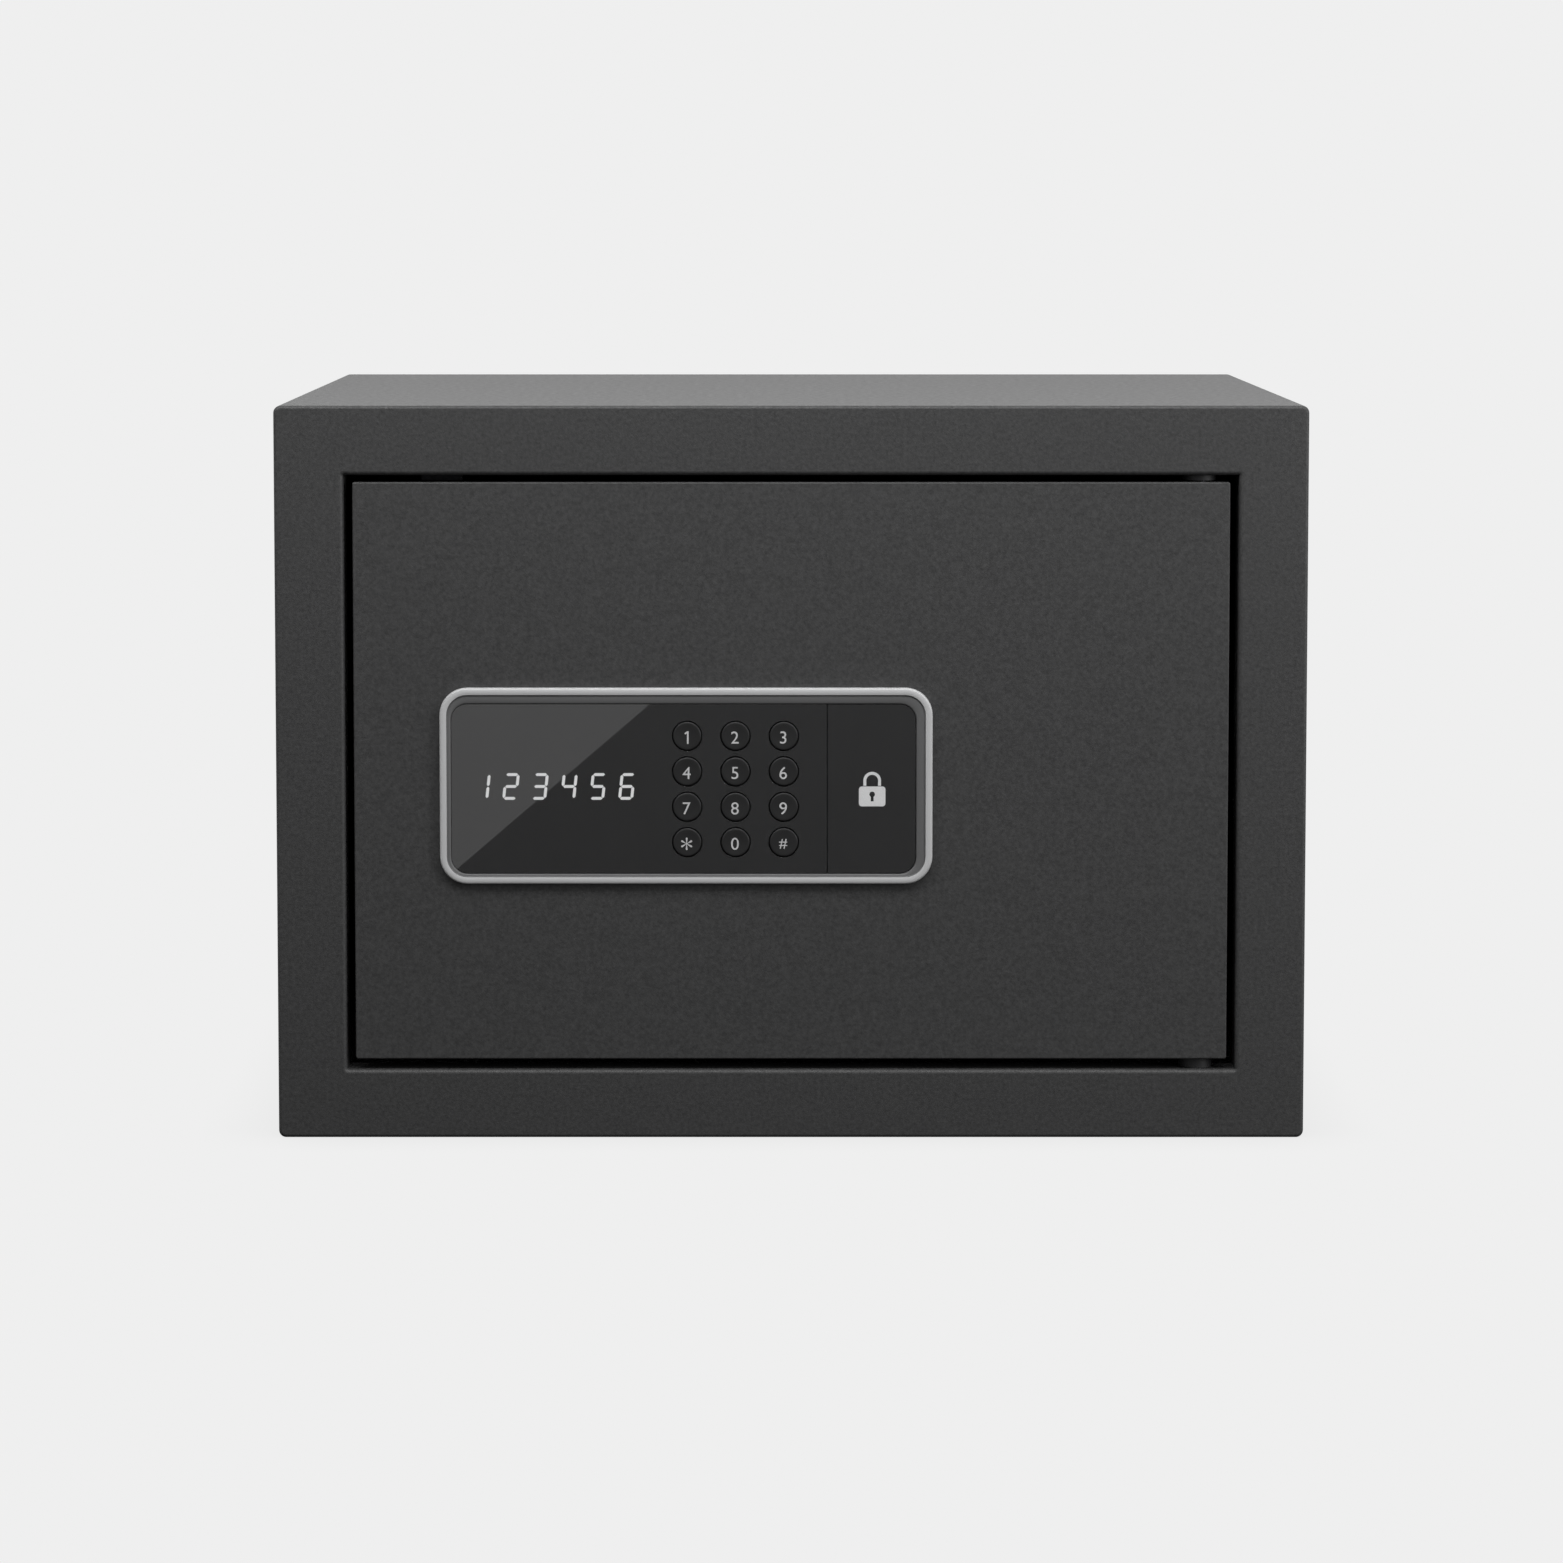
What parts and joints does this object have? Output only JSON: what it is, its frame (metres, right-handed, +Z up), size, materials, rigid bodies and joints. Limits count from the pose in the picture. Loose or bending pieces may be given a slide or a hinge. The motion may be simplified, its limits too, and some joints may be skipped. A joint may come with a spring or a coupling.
{
  "type": "in room safe",
  "caption": "Small steel in-room safe: box body, inset door on concealed pivots, keypad and display panel, motor-driven bolts, mechanical override lock and battery compartment.",
  "frame": {"origin": "middle of the base, on the surface that the safe stands on", "axes": "+X to the right seen from the front, +Y into the depth, +Z up"},
  "size_m": [0.35, 0.3019, 0.25],
  "materials": {
    "body_paint": "fine-textured charcoal powder coat",
    "inner_paint": "smooth dark grey powder coat",
    "felt": "needle-punched felt",
    "nylon": "moulded nylon",
    "spring_steel": "plated spring steel",
    "dark_steel": "black-oxide steel",
    "zinc": "zinc plated",
    "bezel": "satin silver",
    "panel_gloss": "gloss black acrylic",
    "matte_black": "fine spark texture",
    "key_black": "satin moulded caps with pale digits",
    "silicone": "translucent grey silicone",
    "pcb": "green solder resist",
    "display": "dark filled module",
    "brass": "satin",
    "bolt_steel": "bright plated bar",
    "motor_can": "drawn steel can",
    "battery": "printed sleeve, no marks",
    "red_plastic": "moulded",
    "lead_red": "PVC sleeve",
    "lead_black": "PVC sleeve"
  },
  "bodies": {
    "safe_body": {"body_wrap": "body_paint", "front_frame": "body_paint", "back_panel": "body_paint", "floor_mat": "felt", "hinge_brackets": "inner_paint", "hinge_bushes": "matte_black", "kick_spring": "dark_steel"},
    "door": {"door_plate": "body_paint", "hinge_blocks": "inner_paint", "hinge_pins": "dark_steel", "panel_bezel": "bezel", "panel_housing": "matte_black", "panel_lens": "panel_gloss", "key_mat": "silicone", "panel_pcb": "pcb", "display_module": "display", "buzzer": "matte_black", "panel_nuts": "zinc", "lock_barrel": "zinc", "lock_nut": "zinc", "bolt_guide": "inner_paint", "carriage_posts": "zinc", "carriage_clips": "spring_steel", "gearbox": "nylon", "gearbox_screws": "zinc", "motor": "motor_can", "position_sensor": "matte_black", "door_back_cover": "inner_paint", "cover_posts": "zinc", "cover_screws": "zinc", "battery_holder": "matte_black", "battery_cells": "battery", "battery_contacts": "spring_steel", "reset_switch": "pcb", "power_lead": "lead_red", "motor_lead": "lead_black"},
    "bolt_carriage": {"bolt_carriage": "zinc", "locking_bolts": "bolt_steel", "bolt_rivets": "zinc"},
    "drive_pinion": {"drive_pinion": "nylon"},
    "override_plug": {"lock_plug": "brass", "lock_cam": "zinc", "cam_screw": "zinc"},
    "override_cover": {"override_cover": "panel_gloss"},
    "battery_lid": {"battery_lid": "matte_black"},
    "reset_button": {"reset_button": "red_plastic"},
    "key_1": {"key_1": "key_black"},
    "key_2": {"key_2": "key_black"},
    "key_3": {"key_3": "key_black"},
    "key_4": {"key_4": "key_black"},
    "key_5": {"key_5": "key_black"},
    "key_6": {"key_6": "key_black"},
    "key_7": {"key_7": "key_black"},
    "key_8": {"key_8": "key_black"},
    "key_9": {"key_9": "key_black"},
    "key_star": {"key_star": "key_black"},
    "key_0": {"key_0": "key_black"},
    "key_hash": {"key_hash": "key_black"}
  },
  "joints": [
    {"name": "door_swing", "type": "hinge", "parent": "safe_body", "child": "door", "pos_m": [0.1385, -0.1415, 0.125], "axis": [0, 0, 1], "range_deg": [0, 100]},
    {"name": "bolt_throw", "type": "slide", "parent": "door", "child": "bolt_carriage", "axis": [-1, 0, 0], "range_m": [0, 0.015]},
    {"name": "pinion_spin", "type": "hinge", "parent": "door", "child": "drive_pinion", "pos_m": [-0.045, -0.1255, 0.1775], "axis": [0, -1, 0], "range_deg": [0, 115]},
    {"name": "override_turn", "type": "hinge", "parent": "door", "child": "override_plug", "pos_m": [0.0275, -0.138, 0.12], "axis": [0, -1, 0], "range_deg": [0, 90]},
    {"name": "override_cover_pull", "type": "slide", "parent": "door", "child": "override_cover", "axis": [0, -1, 0], "range_m": [0, 0.03]},
    {"name": "battery_lid_slide", "type": "slide", "parent": "door", "child": "battery_lid", "axis": [0, 0, -1], "range_m": [0, 0.035]},
    {"name": "reset_press", "type": "slide", "parent": "door", "child": "reset_button", "axis": [0, -1, 0], "range_m": [0, 0.0012], "stiffness_N_per_m": 500},
    {"name": "key_1_press", "type": "slide", "parent": "door", "child": "key_1", "axis": [0, 1, 0], "range_m": [0, 0.0012], "stiffness_N_per_m": 800},
    {"name": "key_2_press", "type": "slide", "parent": "door", "child": "key_2", "axis": [0, 1, 0], "range_m": [0, 0.0012], "stiffness_N_per_m": 800},
    {"name": "key_3_press", "type": "slide", "parent": "door", "child": "key_3", "axis": [0, 1, 0], "range_m": [0, 0.0012], "stiffness_N_per_m": 800},
    {"name": "key_4_press", "type": "slide", "parent": "door", "child": "key_4", "axis": [0, 1, 0], "range_m": [0, 0.0012], "stiffness_N_per_m": 800},
    {"name": "key_5_press", "type": "slide", "parent": "door", "child": "key_5", "axis": [0, 1, 0], "range_m": [0, 0.0012], "stiffness_N_per_m": 800},
    {"name": "key_6_press", "type": "slide", "parent": "door", "child": "key_6", "axis": [0, 1, 0], "range_m": [0, 0.0012], "stiffness_N_per_m": 800},
    {"name": "key_7_press", "type": "slide", "parent": "door", "child": "key_7", "axis": [0, 1, 0], "range_m": [0, 0.0012], "stiffness_N_per_m": 800},
    {"name": "key_8_press", "type": "slide", "parent": "door", "child": "key_8", "axis": [0, 1, 0], "range_m": [0, 0.0012], "stiffness_N_per_m": 800},
    {"name": "key_9_press", "type": "slide", "parent": "door", "child": "key_9", "axis": [0, 1, 0], "range_m": [0, 0.0012], "stiffness_N_per_m": 800},
    {"name": "key_star_press", "type": "slide", "parent": "door", "child": "key_star", "axis": [0, 1, 0], "range_m": [0, 0.0012], "stiffness_N_per_m": 800},
    {"name": "key_0_press", "type": "slide", "parent": "door", "child": "key_0", "axis": [0, 1, 0], "range_m": [0, 0.0012], "stiffness_N_per_m": 800},
    {"name": "key_hash_press", "type": "slide", "parent": "door", "child": "key_hash", "axis": [0, 1, 0], "range_m": [0, 0.0012], "stiffness_N_per_m": 800}
  ],
  "couplings": [
    {"joint": "pinion_spin", "follows": "bolt_throw", "rad_per_m": 133.33}
  ]
}
